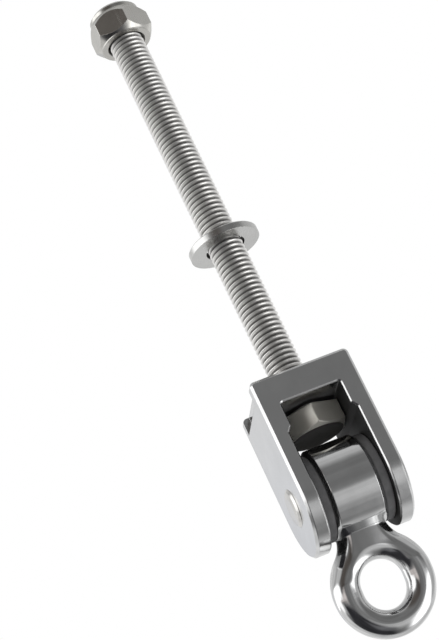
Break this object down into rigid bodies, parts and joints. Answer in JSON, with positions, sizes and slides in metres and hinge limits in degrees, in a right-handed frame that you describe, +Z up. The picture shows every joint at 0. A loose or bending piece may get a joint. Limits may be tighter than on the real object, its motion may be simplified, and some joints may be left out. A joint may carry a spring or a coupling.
{
  "type": "hammock hook",
  "caption": "Stainless hammock hook: a bolt through the beam with lock nut and washer carries a U-shaped bracket, in which an eye swings to and fro on a riveted pin",
  "frame": {"origin": "on the bracket's flat top face, on the bolt's axis", "axes": "+Z up the bolt, out of the top face into the beam; +X along the pivot pin; -Y to the front"},
  "size_m": [0.0352, 0.033, 0.2342],
  "materials": {
    "polished_casting": "polished",
    "bolt_steel": "satin",
    "nut_steel": "satin",
    "washer_steel": "satin",
    "pin_steel": "satin",
    "bush_nylon": "matte",
    "insert_nylon": "satin"
  },
  "bodies": {
    "hanger": {"bracket": "polished_casting", "hex_bolt": "bolt_steel", "lock_nut": "nut_steel", "nut_insert": "insert_nylon", "washer": "washer_steel", "pivot_pin": "pin_steel"},
    "eye": {"swing_eye": "polished_casting", "bush_left": "bush_nylon", "bush_right": "bush_nylon"}
  },
  "joints": [
    {"name": "eye_swing", "type": "hinge", "parent": "hanger", "child": "eye", "pos_m": [0, 0, -0.0371], "axis": [1, 0, 0], "range_deg": [-131, 109]}
  ]
}
